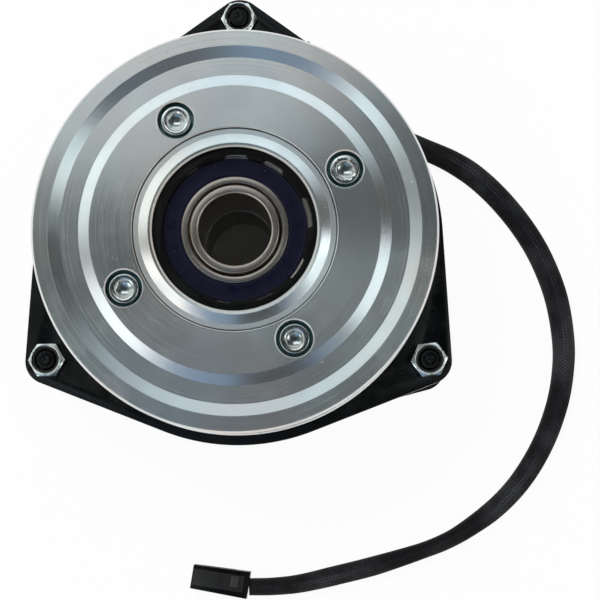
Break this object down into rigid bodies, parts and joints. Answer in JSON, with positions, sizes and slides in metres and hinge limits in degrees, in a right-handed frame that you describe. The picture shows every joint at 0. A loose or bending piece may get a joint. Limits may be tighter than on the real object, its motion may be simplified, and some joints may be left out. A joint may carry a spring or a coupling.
{
  "type": "pto clutch",
  "caption": "Electric clutch and brake with a V-belt pulley on a keyed hub, three adjusting studs and a woven lead that ends in a two-way connector.",
  "frame": {"origin": "centre of the plan outline of the rigid parts, without the lead and connector, at the back of the field plate, which is the surface it rests on", "axes": "+Z along the turning axis from the field plate to the pulley face; +Y towards the stud beside the slotted tab; the turning axis stands at x 0, y -0.0088 m"},
  "size_m": [0.2289, 0.2485, 0.079],
  "materials": {
    "turned_zinc": "turned, bright, fine circular grain",
    "bearing_steel": "ground",
    "steel": "machined",
    "zinc": "zinc plated",
    "zinc_dark": "dark plated thread",
    "spring_steel": "oiled spring steel",
    "black_oxide": "black oxide, satin",
    "black_paint": "black coat, satin",
    "gloss_black": "black coat, gloss",
    "seal": "smooth seal, dark navy",
    "moulding": "moulded, satin",
    "woven": "woven sleeve, matt",
    "friction": "friction lining, matt",
    "copper": "enamelled wire"
  },
  "bodies": {
    "field": {"field_plate": "black_paint", "field_cup": "black_paint", "coil_bobbin": "moulding", "coil_winding": "copper", "potting_ring": "moulding", "field_bearing_outer_race": "bearing_steel", "field_bearing_seal_lower": "seal", "field_bearing_seal_upper": "seal", "field_snap_ring": "spring_steel", "brake_stud_1": "zinc_dark", "brake_stud_2": "zinc_dark", "brake_stud_3": "zinc_dark", "brake_spring_1": "spring_steel", "brake_spring_2": "spring_steel", "brake_spring_3": "spring_steel", "brake_plate": "gloss_black", "brake_pad_1": "friction", "brake_pad_2": "friction", "brake_pad_3": "friction", "lock_nut_1": "zinc", "lock_nut_2": "zinc", "lock_nut_3": "zinc", "nylon_insert_1": "moulding", "nylon_insert_2": "moulding", "nylon_insert_3": "moulding", "lead_grommet": "moulding", "lead_sleeve": "woven", "connector_housing": "moulding", "connector_blade_1": "zinc", "connector_blade_2": "zinc"},
    "field_bearing_balls": {"field_bearing_cage": "bearing_steel"},
    "rotor": {"rotor_hub": "steel", "rotor_disc": "steel", "friction_ring": "friction", "field_bearing_inner_race": "bearing_steel", "rotor_circlip": "spring_steel", "bearing_sleeve": "bearing_steel", "pulley_bearing_inner_race": "bearing_steel"},
    "pulley_bearing_balls": {"pulley_bearing_cage": "bearing_steel"},
    "pulley": {"pulley_hub": "turned_zinc", "pulley_front_disc": "turned_zinc", "cap_screw_1": "zinc", "cap_screw_2": "zinc", "cap_screw_3": "zinc", "cap_screw_4": "zinc", "pulley_bearing_outer_race": "bearing_steel", "pulley_bearing_seal_lower": "seal", "pulley_bearing_seal_upper": "seal", "bearing_retainer": "black_oxide", "leaf_spring_1": "spring_steel", "leaf_spring_2": "spring_steel", "leaf_spring_3": "spring_steel", "hub_rivet_1": "zinc", "hub_rivet_2": "zinc", "hub_rivet_3": "zinc"},
    "armature": {"armature_plate": "steel", "armature_rivet_1": "zinc", "armature_rivet_2": "zinc", "armature_rivet_3": "zinc"}
  },
  "joints": [
    {"name": "rotor_spin", "type": "hinge", "parent": "field", "child": "rotor", "pos_m": [0, -0.0088, 0.0153], "axis": [0, 0, 1], "continuous": true},
    {"name": "field_balls_spin", "type": "hinge", "parent": "field", "child": "field_bearing_balls", "pos_m": [0, -0.0088, 0.0153], "axis": [0, 0, 1], "continuous": true},
    {"name": "pulley_spin", "type": "hinge", "parent": "rotor", "child": "pulley", "pos_m": [0, -0.0088, 0.068], "axis": [0, 0, 1], "continuous": true},
    {"name": "pulley_balls_spin", "type": "hinge", "parent": "rotor", "child": "pulley_bearing_balls", "pos_m": [0, -0.0088, 0.068], "axis": [0, 0, 1], "continuous": true},
    {"name": "armature_pull", "type": "slide", "parent": "pulley", "child": "armature", "axis": [0, 0, -1], "range_m": [0, 0.0004], "stiffness_N_per_m": 20000, "springref_m": -0.0005}
  ],
  "couplings": [
    {"joint": "field_balls_spin", "follows": "rotor_spin", "ratio": 0.4204},
    {"joint": "pulley_balls_spin", "follows": "pulley_spin", "ratio": 0.5814}
  ]
}
